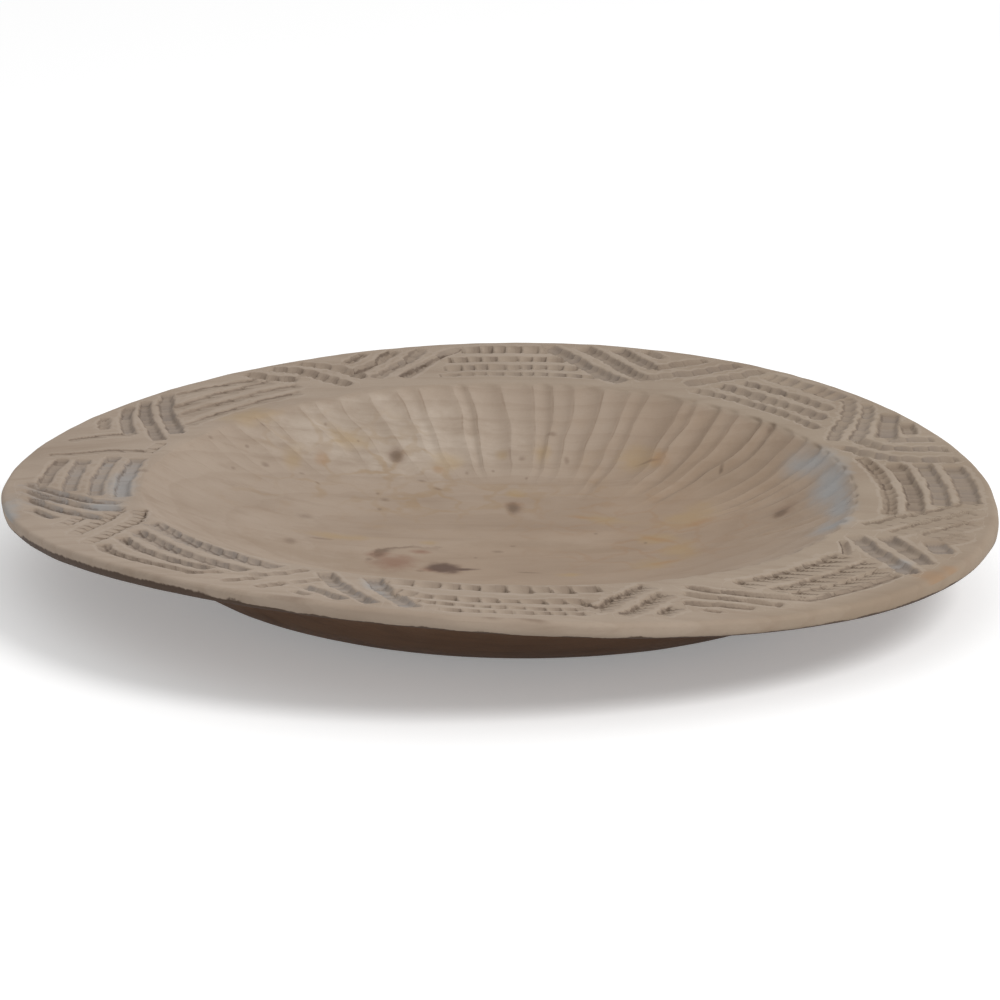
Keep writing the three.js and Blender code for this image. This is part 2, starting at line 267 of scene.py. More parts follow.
dice = np.random.default_rng(CARVER_SEED)
flute_edges = np.arange(FLUTE_COUNT + 1) + dice.uniform(-FLUTE_JITTER, FLUTE_JITTER, FLUTE_COUNT + 1)
flute_edges *= math.tau / FLUTE_COUNT
flute_edges[-1] = flute_edges[0] + math.tau
flute_depths = FLUTE_DEPTH * dice.uniform(0.5, 1.3, FLUTE_COUNT)
end_shifts = dice.uniform(-0.018, 0.022, FLUTE_COUNT)

wander = noise_at(points, 0.034) + 0.35 * noise_at(points, 0.013)
wander = wander * FLUTE_WANDER / np.maximum(radius, WANDER_CENTRE)
around = (angle - FLUTE_SEAM + wander - flute_edges[0]) % math.tau + flute_edges[0]
flute = np.clip(np.searchsorted(flute_edges, around, side="right") - 1, 0, FLUTE_COUNT - 1)
across_flute = (around - flute_edges[flute]) / (flute_edges[flute + 1] - flute_edges[flute])
hollow = 1 - (2 * across_flute - 1) ** 2
boldness = np.interp(direction, FLUTE_DIRECTIONS, BOLDNESS)
end_radius = np.interp(direction, FLUTE_DIRECTIONS, END_RADII) + end_shifts[flute]
down_wall = smooth_step((radius - end_radius) / FLUTE_FADE)
top_end = LIP_RADIUS - FLUTE_TOP_GAP + LIP_SCALLOP * hollow * boldness
off_rim = 1 - smooth_step((radius - top_end) / LIP_FADE)
restarts = 0.85 + 0.25 * noise_at(points, 0.016)
fluted = upper * down_wall * off_rim * boldness * restarts
flute_cut = hollow * fluted * flute_depths[flute]
in_bowl = upper * (radius < LIP_RADIUS - LIP_ROUNDING)
dimples_left = 1 - DIMPLES_CUT_AWAY * down_wall
dimple_cut = in_bowl * DIMPLE_DEPTH * (1 - facets_at(points, DIMPLE_SIZE)) * dimples_left
up_bowl = np.minimum(radius, LIP_RADIUS) / LIP_RADIUS
wall_slope = BOWL_DEPTH * WALL_STEEPNESS / LIP_RADIUS * up_bowl ** (WALL_STEEPNESS - 1)
lip_slope = LIP_SLOPE * (1 - smooth_step((radius - LIP_RADIUS) / LIP_ROUNDING))
slope = np.where(radius < LIP_RADIUS, wall_slope, lip_slope)
cut_in_bowl = flute_cut + dimple_cut
length = np.sqrt(1 + slope ** 2)
height = height - cut_in_bowl / length
moved_radius = radius + cut_in_bowl * slope / length

# The carved band
# Eight fields of four grooves each run round the rim, with nested chevrons between them.
# Each groove was chopped with a gouge or a knife, nick after nick, by eye and without a compass.

# How each tool cuts: depth and wall as shares of the width, the pitch of its nicks in mm, how much
# shallower and narrower each nick starts, how far nicks slant, where its deepest line and its painted
# shade line lie (-1 at the bowl's side, 1 at the edge's side, None to follow the shaded side), how keen
# that line is, and how strongly dirt with painted shade fills the groove, how strongly painted shade
# gathers along each nick, and how strongly a painted shadow marks each nick's end
TOOLS = {
    "trough": (0.34, 0.35, 5.0, 0.20, 0.06, 0.0, None, 0.30, 0.95, 0.30, 0.20),
    "rib": (0.34, 0.35, 4.4, 0.30, 0.08, 0.0, None, 0.30, 0.80, 0.30, 0.30),
    "leaf": (0.33, 0.60, 7.4, 0.60, 0.30, 0.15, None, 0.45, 0.85, 0.50, 0.20),
    "scallop": (0.30, 0.55, 6.6, 0.90, 0.08, 0.0, None, 0.35, 0.80, 0.90, 0.30),
    "tooth": (0.32, 0.45, 6.6, 0.60, 0.12, 0.2, -0.3, 0.60, 1.00, 0.50, 0.75),
    "cup": (0.30, 0.55, 8.5, 0.90, 0.08, 0.1, None, 0.20, 0.75, 1.00, 0.25),
    "vee": (0.34, 0.80, 12.0, 0.25, 0.12, 0.25, None, 1.00, 0.60, 0.40, 0.10),
    "knife": (0.34, 0.90, 14.0, 0.35, 0.20, 0.25, -0.40, 0.60, 0.85, 0.60, 0.10),
    "rope": (0.32, 0.60, 8.4, 0.45, 0.12, 0.8, -0.25, 0.70, 1.00, 0.45, 0.35),
    "scribe": (0.16, 1.00, 10.0, 0.45, 0.14, 0.4, 0.70, 0.25, 0.22, 0.40, 0.30),
    "feather": (0.28, 1.00, 5.4, 0.80, 0.18, 0.4, -0.75, 0.85, 0.26, 0.60, 0.50),
    "comb": (0.15, 1.00, 5.8, 0.75, 0.04, 0.9, -0.80, 0.30, 0.10, 0.50, 0.75),
}
DEEPEST = 0.0024

# For grooves whose tool sets no side: the direction towards which their painted shade line lies and
# their deepest line leans
SHADED_SIDE_DIRECTION = math.radians(228)

# Each groove: its tool, its width in mm, how weathered its floor is, and its route as (direction in
# degrees, share of the way from the lip to the edge) pairs, in the order of its nicks
GROOVES = [
    # Field on the right
    ("trough", 10.6, 0.3, (7, 0.81), (-6.2, 0.81)),
    ("trough", 8.2, 0.3, (8.6, 0.6), (-7.8, 0.6)),
    ("trough", 8.2, 0.1, (9.4, 0.4), (0, 0.41), (-11.2, 0.43)),
    ("tooth", 6.6, 0, (13, 0.2), (6, 0.22), (0, 0.23), (-13.2, 0.26)),
    # Chevrons, right to far right
    ("leaf", 8.4, 0.3, (10, 0.88), (10.4, 0.64), (11.8, 0.43), (14.6, 0.29), (19, 0.17)),
    ("leaf", 8.4, 0.3, (14.2, 0.88), (15.4, 0.62), (17.2, 0.44), (22, 0.34)),
    ("leaf", 8.2, 0.4, (18.2, 0.87), (20, 0.56)),
    ("leaf", 7.6, 0.3, (37.6, 0.85), (35.4, 0.75), (31.4, 0.56), (27.4, 0.33), (23.4, 0.18)),
    ("leaf", 7.8, 0.4, (34, 0.87), (31.4, 0.76), (28, 0.59), (24.8, 0.46), (22.2, 0.33)),
    ("trough", 9.6, 0.3, (29.2, 0.88), (25.8, 0.73), (21.2, 0.58)),
    ("trough", 7.4, 0.2, (25.2, 0.89), (21.4, 0.79)),
    # Field on the far right
    ("scallop", 11, 0.3, (51.4, 0.81), (38.6, 0.81)),
    ("leaf", 7.4, 0.2, (52.8, 0.57), (36, 0.57)),
    ("leaf", 8.2, 0.2, (54.8, 0.41), (45, 0.37), (33.2, 0.4)),
    ("leaf", 7, 0.2, (56.8, 0.22), (30, 0.22)),
    # Chevrons, far right to far side
    ("leaf", 8.2, 0.2, (53.8, 0.86), (55.6, 0.64), (59.6, 0.32)),
    ("leaf", 8.2, 0.2, (57.6, 0.88), (61, 0.57), (67, 0.31)),
    ("leaf", 7.6, 0.1, (62.4, 0.86), (67, 0.55)),
    ("trough", 8.2, 0.3, (83, 0.85), (79.4, 0.62), (76.4, 0.43), (73.2, 0.28), (69.8, 0.19)),
    ("trough", 7.6, 0.2, (78.6, 0.88), (74.2, 0.63), (70.4, 0.42), (66.6, 0.3)),
    ("trough", 7.6, 0.2, (74, 0.88), (70.6, 0.69), (67.4, 0.56)),
    ("vee", 6.4, 0.2, (70.4, 0.91), (67.8, 0.8)),
    # Field on the far side
    ("scallop", 10.6, 0.1, (94.2, 0.8), (82.8, 0.79)),
    ("scallop", 7.4, 0.1, (96.4, 0.57), (80.4, 0.57)),
    ("scallop", 7.2, 0.2, (97.4, 0.38), (78, 0.38)),
    ("scallop", 4.8, 0.2, (98.4, 0.23), (74.4, 0.22)),
    # Chevrons, far side to far left
    ("vee", 7, 0.3, (94.8, 0.84), (96.8, 0.73), (99.4, 0.56), (104.2, 0.27)),
    ("leaf", 7.6, 0.3, (99.8, 0.86), (102, 0.64), (105.2, 0.49), (108.4, 0.32)),
    ("vee", 7.2, 0.2, (103.4, 0.88), (106, 0.68), (110.4, 0.5)),
    ("leaf", 6.4, 0.1, (107.4, 0.88), (110, 0.75)),
    ("leaf", 8.8, 0.1, (123.4, 0.87), (121.4, 0.66), (119.4, 0.54)),
    ("leaf", 9, 0.1, (119.8, 0.88), (117.2, 0.71), (115.4, 0.46), (113.6, 0.24)),
    ("leaf", 8, 0.1, (115.8, 0.88), (112.4, 0.66), (110.2, 0.36)),
    # Field on the far left
    ("scribe", 7, 0.1, (134.6, 0.8), (130, 0.77), (124.2, 0.69)),
    ("scribe", 8, 0.1, (138.6, 0.575), (123, 0.585)),
    ("scribe", 8, 0.1, (140.4, 0.395), (130, 0.39), (120.6, 0.395)),
    ("scribe", 6.4, 0.1, (144, 0.21), (122.2, 0.225)),
    # Chevrons, far left to left
    ("trough", 6.8, 0.4, (135.6, 0.87), (138.6, 0.7), (141.4, 0.54), (144.8, 0.34), (148.4, 0.17)),
    ("trough", 5.8, 0.3, (139.2, 0.87), (143, 0.67), (147.8, 0.4), (152.6, 0.19)),
    ("trough", 5.8, 0.4, (142, 0.88), (146.4, 0.69), (151.2, 0.47)),
    ("leaf", 7, 0.2, (146.8, 0.86), (150.2, 0.72)),
    ("scribe", 5.6, 0.1, (162.4, 0.8), (161.6, 0.62), (159.6, 0.42), (159, 0.16)),
    ("scribe", 6, 0.1, (156, 0.8), (153.2, 0.62), (151.6, 0.46)),
    ("feather", 5, 0.1, (159.2, 0.13), (154.6, 0.13)),
    # Field on the left
    ("rib", 6.2, 0.3, (164.4, 0.68), (170, 0.69), (176, 0.7)),
    ("rib", 6.8, 0.8, (164.4, 0.52), (170, 0.5), (179, 0.5)),
    ("rib", 6.8, 0.9, (162.6, 0.33), (170, 0.31), (182.6, 0.31)),
    ("trough", 7.6, 1, (163.6, 0.135), (170, 0.12), (184, 0.125)),
    # Chevrons, left to near left
    ("knife", 8.4, 0.9, (174.8, 0.83), (178.6, 0.67), (182.6, 0.49), (186, 0.35), (188.2, 0.18)),
    ("knife", 8.4, 0.9, (178, 0.82), (182, 0.68), (186.2, 0.51), (190.2, 0.37), (191.8, 0.18)),
    ("knife", 8.4, 0.8, (182, 0.81), (187, 0.68), (191.6, 0.54), (196, 0.39)),
    ("knife", 7, 0.6, (188, 0.8), (193.4, 0.7)),
    ("feather", 7.4, 0.2, (209, 0.74), (206.2, 0.53), (203.4, 0.37), (200.4, 0.2), (197.4, 0.1),
     (193.4, 0.06)),
    ("feather", 8, 0.3, (203.2, 0.7), (200.6, 0.55), (196.4, 0.34), (192.4, 0.22)),
    ("feather", 7, 0.5, (198, 0.71), (196, 0.58), (193.4, 0.48)),
    # Field on the near left
    ("rope", 6.4, 0.1, (211.4, 0.68), (214, 0.74), (218, 0.755), (231.4, 0.735)),
    ("rope", 7.6, 0.3, (209, 0.46), (216, 0.53), (223, 0.56), (231, 0.56)),
    ("rope", 9.2, 0.4, (205.8, 0.27), (213, 0.3), (224, 0.37), (235, 0.42)),
    ("rope", 10.4, 0.5, (202.4, 0.06), (215, 0.09), (226, 0.13), (236.8, 0.19)),
    # Chevrons, near left to near side
    ("leaf", 6.4, 0.1, (231.2, 0.77), (233.4, 0.59)),
    ("leaf", 7.2, 0.1, (237, 0.79), (239, 0.57)),
    ("leaf", 6.4, 0.1, (242, 0.79), (243, 0.59)),
    ("leaf", 6.6, 0.2, (237.6, 0.5), (239.6, 0.34), (241.2, 0.14)),
    ("leaf", 6, 0.2, (244, 0.51), (246, 0.32)),
    ("trough", 8.8, 0.7, (260.6, 0.82), (258.2, 0.62), (255.2, 0.38), (252, 0.1)),
    ("trough", 8.2, 0.6, (256, 0.82), (252.4, 0.59), (248.6, 0.37), (244.6, 0.12)),
    ("trough", 6.6, 0.6, (252.4, 0.81), (249.6, 0.69), (246, 0.58)),
    ("vee", 5.6, 0.2, (248.2, 0.82), (246.4, 0.77)),
    # Field on the near side
    ("scallop", 5.6, 0.1, (264, 0.84), (270.6, 0.79), (280.4, 0.765)),
    ("scallop", 5.4, 0.1, (260.8, 0.65), (268, 0.67), (280, 0.655)),
    ("cup", 8.2, 0.1, (257, 0.39), (260.6, 0.48), (266, 0.49), (275, 0.47), (281.6, 0.43)),
    ("cup", 11.6, 0.1, (254.8, 0.12), (270, 0.14), (284.8, 0.13)),
    # Chevrons, near side to near right
    ("feather", 9.2, 0.4, (280.2, 0.47), (282.6, 0.66), (286, 0.41), (289, 0.26), (292.4, 0.14)),
    ("feather", 9, 0.3, (285, 0.78), (287.4, 0.66), (290.6, 0.47), (293.4, 0.34)),
    ("feather", 8, 0.3, (289.6, 0.79), (292.2, 0.65)),
    ("knife", 8, 0.1, (309.2, 0.77), (305.6, 0.6), (303.6, 0.48), (300.8, 0.38), (297.8, 0.22)),
    ("knife", 7.6, 0.1, (304.6, 0.78), (302, 0.61), (299.2, 0.5), (296, 0.36)),
    ("knife", 7.4, 0.1, (300.8, 0.78), (298, 0.65), (294.2, 0.56)),
    ("knife", 5.2, 0.1, (296.4, 0.79), (295.2, 0.74)),
    # Field on the near right
    ("rope", 5, 0.1, (309, 0.77), (324, 0.765)),
    ("comb", 7.4, 0.1, (309, 0.66), (324, 0.67)),
    ("comb", 9.8, 0.1, (308, 0.52), (325.8, 0.51)),
    ("comb", 12, 0.1, (305.4, 0.31), (325.6, 0.31)),
    ("vee", 4.6, 0.1, (327, 0.29), (331.4, 0.16)),
    # Chevrons, near right to right
    ("trough", 8.4, 0.4, (326, 0.8), (328.2, 0.59), (330.8, 0.38), (334.4, 0.19)),
    ("trough", 8.2, 0.3, (330, 0.79), (333, 0.58), (336.4, 0.37)),
    ("trough", 9.6, 0.5, (334.6, 0.8), (337.2, 0.69)),
    ("comb", 10, 0.2, (353, 0.83), (350, 0.67), (347, 0.49), (343.6, 0.33), (340.2, 0.19)),
    ("comb", 9.6, 0.2, (349.4, 0.83), (346.8, 0.7), (343.2, 0.53), (338.8, 0.39)),
    ("comb", 9, 0.3, (345.6, 0.84), (343.4, 0.74), (339.4, 0.62)),
    ("comb", 8, 0.3, (341, 0.83), (338.4, 0.75)),
]
MILLIMETRE = 0.001
ROUTE_STEP = 0.0012
END_FADE = 0.0016
UNEVENNESS = 0.00022

# In half widths from a groove's middle: how far its marks reach, and a place beyond them all
OUTSIDE_GROOVE = 1.6
FAR_FROM_GROOVE = 2.0

# How a carver's nicks vary: least and most depth, width, and dirt with painted shade, as shares; how
# far they drift from an even beat, and how much the borders and the depth chatter. Nicks are numbered
# from two before a groove's start to three past its end.
NICK_DEPTHS = (0.72, 1.10)
NICK_WIDTHS = (0.84, 1.10)
NICK_DIRT_AND_SHADE = (0.55, 1.25)
BEAT_DRIFT = 0.12
BEAT_TURN = 1.7
BORDER_CHATTER = 0.10
DEPTH_CHATTER = 0.06
NICKS_BEFORE = 2
NICKS_SPARE = 5

# Towards that direction a groove's deepest line leans, and its painted shade line is pulled further,
# up to a limit
SHADED_SIDE_LEAN = 0.6
SHADE_LINE_PULL = 2.5
SHADE_LINE_LIMIT = 0.86

# How steeply a keen tool's walls and a nick's start fall, and how dark a blunt tool's painted shade
# line is and how much a keen one adds
SHARP_WALL = 1.6
NICK_START = 1.5
BLUNT_LINE = 0.45
KEEN_LINE = 0.50


def trail_of(route):
    """Points a small step apart along a route on the rim, with its headings and lengths so far"""
    turns = np.radians([turn for turn, _ in route])
    reaches = LIP_RADIUS + RIM_WIDTH * np.array([share for _, share in route])
    legs = np.hypot(np.diff(reaches), np.diff(turns) * (reaches[1:] + reaches[:-1]) / 2)
    along = np.concatenate([[0], np.cumsum(legs)])
    marks = np.linspace(0, along[-1], max(3, round(along[-1] / ROUTE_STEP)))
    turn = np.interp(marks, along, turns)
    reach = np.interp(marks, along, reaches)
    trail = np.column_stack([reach * np.cos(turn), reach * np.sin(turn)])
    headings = np.gradient(trail, axis=0)
    return trail, headings / np.hypot(*headings.T)[:, None], marks


carved = np.zeros(len(points))
weathered = np.zeros(len(points))
nick_place = np.zeros(len(points))
groove_side = np.full(len(points), FAR_FROM_GROOVE)
line_gap = np.full(len(points), FAR_FROM_GROOVE)
soil_and_shade = np.zeros(len(points))
shade_gathered = np.zeros(len(points))
shade_line_strength = np.zeros(len(points))
end_shadow_strength = np.zeros(len(points))
closest = np.full(len(points), OUTSIDE_GROOVE)
on_band = (radius > LIP_RADIUS - LIP_ROUNDING) & (radius <= corner + SAME_POINT)
band = np.flatnonzero((upper > 0) & on_band)
band_points = points[band, :2]
chatter = noise_at(points[band], 0.0045) + 0.6 * noise_at(points[band], 0.0022)
for tool, width, weathering, *route in GROOVES:
    depth_share, wall_share, pitch, shallower, narrower, slant, *marking = TOOLS[tool]
    deep_side, keenness, fill_dirt_and_shade, shade_gather, end_shadow = marking
    half_width = width / 2 * MILLIMETRE
    depth = min(DEEPEST, depth_share * width * MILLIMETRE)
    trail, headings, marks = trail_of(route)
    low, high = trail.min(0) - half_width * 2, trail.max(0) + half_width * 2
    near = np.flatnonzero(((band_points >= low) & (band_points <= high)).all(1))
    offsets = band_points[near, None, :] - trail[None, :, :]
    nearest = (offsets ** 2).sum(2).argmin(1)
    offset = offsets[np.arange(len(near)), nearest]
    heading = headings[nearest]
    side = heading[:, 0] * offset[:, 1] - heading[:, 1] * offset[:, 0]
    forward = (heading * offset).sum(1)
    past_end = np.where(nearest == 0, -forward, np.where(nearest == len(trail) - 1, forward, 0))
    nicks = max(1, round(marks[-1] / MILLIMETRE / pitch))
    phase = (marks[nearest] + forward) / marks[-1] * nicks + slant * side / half_width / 2
    phase = phase + BEAT_DRIFT * np.sin(phase * BEAT_TURN + dice.uniform(0, 6))
    within = phase - np.floor(phase)
    nick = np.clip(np.floor(phase).astype(int) + NICKS_BEFORE, 0, nicks + NICKS_SPARE - 1)
    nick_depths = dice.uniform(*NICK_DEPTHS, nicks + NICKS_SPARE)
    nick_widths = dice.uniform(*NICK_WIDTHS, nicks + NICKS_SPARE)
    nick_dirt_and_shade = dice.uniform(*NICK_DIRT_AND_SHADE, nicks + NICKS_SPARE)
    start = (1 - within) ** NICK_START
    swell = 1 - narrower * (2 * within - 1) ** 2
    half = half_width * nick_widths[nick] * swell * (1 + BORDER_CHATTER * chatter[near])
    across = side / half
    # Where a tool sets no side, a groove's deepest line and its painted shade line lie towards one
    # direction
    if deep_side is None:
        to_shaded_side = heading[:, 0] * math.sin(SHADED_SIDE_DIRECTION) - heading[:, 1] * math.cos(SHADED_SIDE_DIRECTION)
        lean = SHADED_SIDE_LEAN * to_shaded_side
        line = np.clip(SHADE_LINE_PULL * to_shaded_side, -SHADE_LINE_LIMIT, SHADE_LINE_LIMIT)
    else:
        middle = len(trail) // 2
        edgewards = headings[middle, 0] * trail[middle, 1] - headings[middle, 1] * trail[middle, 0]
        lean = line = deep_side * np.sign(edgewards)
    up_wall = np.where(across < lean, (across + 1) / (lean + 1), (1 - across) / (1 - lean)) / wall_share
    sharp_wall = np.clip(up_wall, 0, 1) ** SHARP_WALL
    profile = smooth_step(up_wall) * (1 - keenness) + sharp_wall * keenness
    inside = 1 - smooth_step(past_end / END_FADE)
    profile = profile * inside
    cut = depth * profile * (1 - shallower * start) * nick_depths[nick]
    cut = cut * (1 + DEPTH_CHATTER * chatter[near])
    carved[band[near]] = np.maximum(carved[band[near]], cut)
    distance = np.abs(across) + np.maximum(past_end, 0) / half_width
    nearer = distance < closest[band[near]]
    chosen = band[near[nearer]]
    closest[chosen] = distance[nearer]
    groove_side[chosen] = np.abs(across)[nearer]
    line_gap[chosen] = (across - line)[nearer]
    nick_place[chosen] = phase[nearer]
    weathered[chosen] = weathering
    # Kept for the wood: dirt with painted shade filling the groove, painted shade along each nick, a
    # painted shade line, and a painted shadow at each nick's end
    dirt_and_shade_here = (inside * nick_dirt_and_shade[nick])[nearer]
    soil_and_shade[chosen] = fill_dirt_and_shade * dirt_and_shade_here
    shade_gathered[chosen] = shade_gather
    shade_line_strength[chosen] = (BLUNT_LINE + KEEN_LINE * keenness) * dirt_and_shade_here
    end_shadow_strength[chosen] = end_shadow * dirt_and_shade_here
unevenness = noise_at(points, 0.013) + 0.5 * noise_at(points, 0.0052)
height = height - carved - upper * (radius > LIP_RADIUS) * UNEVENNESS * (1 + unevenness)

# The worn edge and the underside
# Handling has rounded the rim's edge unevenly. The underside keeps the adze's shallow facets down to
# its flat foot. It is coloured dark brown, darkest under the edge with painted shade, and the dark
# climbs the edge most at the near left.

EDGE_ZONE = 0.012
EDGE_BLEND = 0.010
EDGE_WAVE = 0.0005
EDGE_GRAIN = (0.022, 0.022, 0.010)
FACET_DEPTH = 0.0008
FACET_SIZE = 0.026
FOOT_MARGIN = 0.0005
FOOT_BLEND = 0.004
DARK_WAVER = 0.0008
DARK_GRAIN = (0.012, 0.012, 0.050)
DARK_BLEND = 0.0012
DARK_DIRECTIONS = (0, 150, 190, 205, 225, 240, 255, 290, 320, 340, 360)
DARK_HEIGHTS = (-5.9, -5.8, -5.2, -3.9, -3.7, -5.0, -6.3, -6.3, -5.7, -5.8, -5.9)

at_edge = smooth_step((radius - RIM_RADIUS + EDGE_ZONE) / EDGE_BLEND)
edge_noise = noise_at(points, EDGE_GRAIN)
above_foot = smooth_step((height + PLATE_HEIGHT - FOOT_MARGIN) / FOOT_BLEND)
hewn = underneath * above_foot
facet_cut = hewn * FACET_DEPTH * (1 - facets_at(points, FACET_SIZE)) * (1 - at_edge)
edge_wave = at_edge * EDGE_WAVE * (1 + edge_noise)
dark_height = np.interp(direction, DARK_DIRECTIONS, DARK_HEIGHTS) * MILLIMETRE
dark_height = dark_height + DARK_WAVER * noise_at(points, DARK_GRAIN)
below_dark = smooth_step((dark_height - height) / DARK_BLEND + 0.5)
darkened = np.where(radius > ROOT_RADIUS, below_dark, 1.0) * underneath
final_radius = moved_radius - edge_wave - facet_cut
height = height - upper * at_edge * EDGE_WAVE / 2 * (1 - edge_noise)

# The dried and settled form
# As the wood dried across its grain the rim warped like a saddle, and the plate had never been
# quite round. Only the foot was trued up again.

SADDLE_WARP = 0.0063
SADDLE_DIRECTION = math.radians(69)
LOBE_WARP = 0.0022
LOBE_DIRECTION = math.radians(2)
WARP_CURVE = 1.15
OUTLINE_OVAL = 0.0028
OVAL_DIRECTION = math.radians(-45)
OUTLINE_SQUARENESS = 0.0029
SQUARE_DIRECTION = math.radians(-22.5)
FOOT_SHIFT = 0.006

past_foot = np.maximum((radius - FOOT_RADIUS) / (RIM_RADIUS - FOOT_RADIUS), 0) ** WARP_CURVE
oval = OUTLINE_OVAL * np.cos(2 * (angle - OVAL_DIRECTION))
square = OUTLINE_SQUARENESS * np.cos(4 * (angle - SQUARE_DIRECTION))
saddle = SADDLE_WARP * np.cos(2 * (angle - SADDLE_DIRECTION))
lobes = LOBE_WARP * np.cos(3 * (angle - LOBE_DIRECTION))
grown = final_radius + past_foot * (oval + square)
settled = np.column_stack([
    grown * np.cos(angle) + FOOT_SHIFT * -height / PLATE_HEIGHT,
    grown * np.sin(angle),
    height + past_foot * (saddle + lobes) + PLATE_HEIGHT,
])
settled = np.clip(settled, np.array(plate_low), np.array(plate_high))
mesh.vertices.foreach_set("co", settled.ravel())
mesh.update()

# What each point of the mesh keeps of its carving, for the wood to read
kept = {
    "weathered": weathered,
    "groove_side": groove_side,
    "line_gap": line_gap,
    "soil_and_shade": soil_and_shade,
    "shade_gathered": shade_gathered,
    "shade_line_strength": shade_line_strength,
    "end_shadow_strength": end_shadow_strength,
    "nick_place": nick_place,
    "fluted": fluted * flute_depths[flute] / FLUTE_DEPTH,
    "flute_place": flute + across_flute,
    "darkened": darkened,
    "rim_share": (radius - LIP_RADIUS) / RIM_WIDTH,
    "underneath": underneath,
}
for name, values in kept.items():
    attribute = mesh.attributes.new(name, "FLOAT", "POINT")
    attribute.data.foreach_set("value", values.astype(np.float32))

# The wood
# Pale, dry and unvarnished, with the grain along X. It has yellow and brown stains, dark knots,
# greyer floors in some grooves, a painted grey sheen of the sky in places, dirt with painted shade in
# the grooves, painted shade and highlight on the flutes, and a dark brown underside.


def display(red, green, blue):
    """A colour given as it shows on a screen, 0 to 255, as the shader's linear colour"""
    linear = []
    for level in (red / 255, green / 255, blue / 255):
        linear.append(level / 12.92 if level <= 0.04045 else ((level + 0.055) / 1.055) ** 2.4)
    return (*linear, 1.0)


wood = bpy.data.materials.new("weathered_pale_wood")
wood.use_nodes = True
tree = wood.node_tree
shader = tree.nodes["Principled BSDF"]


def give(socket, value):
    """Links a value to a socket, or fills it in"""
    if isinstance(value, Amount):
        tree.links.new(value.socket, socket)
    elif isinstance(value, bpy.types.NodeSocket):
        tree.links.new(value, socket)
    else:
        socket.default_value = value


def node(kind, settings, *values):
    """A node with its settings made, then its sockets filled from (name or number, value) pairs"""
    made = tree.nodes.new("ShaderNode" + kind)
    for name, value in settings.items():
        setattr(made, name, value)
    for key, value in values:
        give(made.inputs[key], value)
    return made


class Amount:
    """A number that varies over the wood, so that shader maths can be written as sums"""

    def __init__(self, socket):
        self.socket = socket

    @staticmethod
    def of(operation, *values):
        return Amount(node("Math", {"operation": operation}, *enumerate(values)).outputs[0])

    def __add__(self, other):
        return Amount.of("ADD", self, other)

    def __radd__(self, other):
        return Amount.of("ADD", other, self)

    def __sub__(self, other):
        return Amount.of("SUBTRACT", self, other)

    def __rsub__(self, other):
        return Amount.of("SUBTRACT", other, self)

    def __mul__(self, other):
        return Amount.of("MULTIPLY", self, other)

    def __truediv__(self, other):
        return Amount.of("DIVIDE", self, other)

    def __or__(self, other):
        return Amount.of("MAXIMUM", self, other)

    def fraction(self):
        return Amount.of("FRACT", self)

    def absolute(self):
        return Amount.of("ABSOLUTE", self)

    def ramp(self, low, high):
        """0 up to low, 1 from high on, and smooth between; high may lie below low"""
        made = node(
            "MapRange", {"interpolation_type": "SMOOTHSTEP"},
            ("Value", self), ("From Min", low), ("From Max", high),
        )
        return Amount(made.outputs["Result"])


place = node("TexCoord", {}).outputs["Object"]


def stored(name):
    """A value kept on the plate's points"""
    return Amount(node("Attribute", {"attribute_name": name}).outputs["Fac"])


def moved(operation, *values):
    """Places or directions, added, taken away or stretched"""
    return node("VectorMath", {"operation": operation}, *enumerate(values)).outputs[0]


def length_of(vector):
    """How long a vector is"""
    return Amount(node("VectorMath", {"operation": "LENGTH"}, (0, vector)).outputs["Value"])


def texture(stretch, scale, detail, roughness, distortion=0.0):
    """Noise, about 0.3 to 0.7, stretched along the axes"""
    vector = moved("MULTIPLY", place, stretch)
    made = node(
        "TexNoise", {}, ("Vector", vector), ("Scale", scale), ("Detail", detail),
        ("Roughness", roughness), ("Distortion", distortion),
    )
    return Amount(made.outputs["Fac"])


def laid(share, under, over):
    """One colour laid over another by a share"""
    return node("Mix", {"data_type": "RGBA"}, (0, share), (6, under), (7, over)).outputs[2]


cloud = texture((1.0, 1.4, 1.4), 16.0, 3.0, 0.5)
blotches = texture((1.0, 1.0, 1.0), 95.0, 4.0, 0.6)
streaks = texture((9.0, 120.0, 120.0), 1.0, 4.0, 0.6, 0.3)
fibres = texture((45.0, 900.0, 900.0), 1.0, 3.0, 0.6, 0.2)
mottle = texture((1.0, 1.0, 1.0), 420.0, 2.0, 0.5)


def mark(across, along, half_across, half_along, turn=0.0, soft=0.9, ragged=0.9):
    """A mark in the wood, 1 at its middle and 0 outside, with soft, ragged borders

    Its middle and its half sizes are in mm along X and Y, and its turn is in degrees."""
    middle = (across * MILLIMETRE, along * MILLIMETRE, 0)
    vector = moved("SUBTRACT", place, middle)
    if turn:
        back = -math.radians(turn)
        turned = node("VectorRotate", {"rotation_type": "Z_AXIS"}, ("Vector", vector), ("Angle", back))
        vector = turned.outputs[0]
    vector = moved("MULTIPLY", vector, (1 / MILLIMETRE / half_across, 1 / MILLIMETRE / half_along, 0))
    return (length_of(vector) + (blotches - 0.5) * ragged * 2).ramp(1 + soft / 2, 1 - soft)


def marks_of(places, **borders):
    """Several marks of one kind together"""
    together = mark(*places[0], **borders)
    for each in places[1:]:
        together = together | mark(*each, **borders)
    return together


above = 1 - stored("underneath")
rim_share = stored("rim_share")
in_the_bowl = rim_share.ramp(0.02, -0.06)

# Clear wood: paler and cooler on the rim and the far left wall, warmer on the floor and to the right
RIM_WOOD = display(166, 149, 133)
FLOOR_WOOD = display(159, 139, 120)
RIGHT_WOOD = display(156, 134, 113)
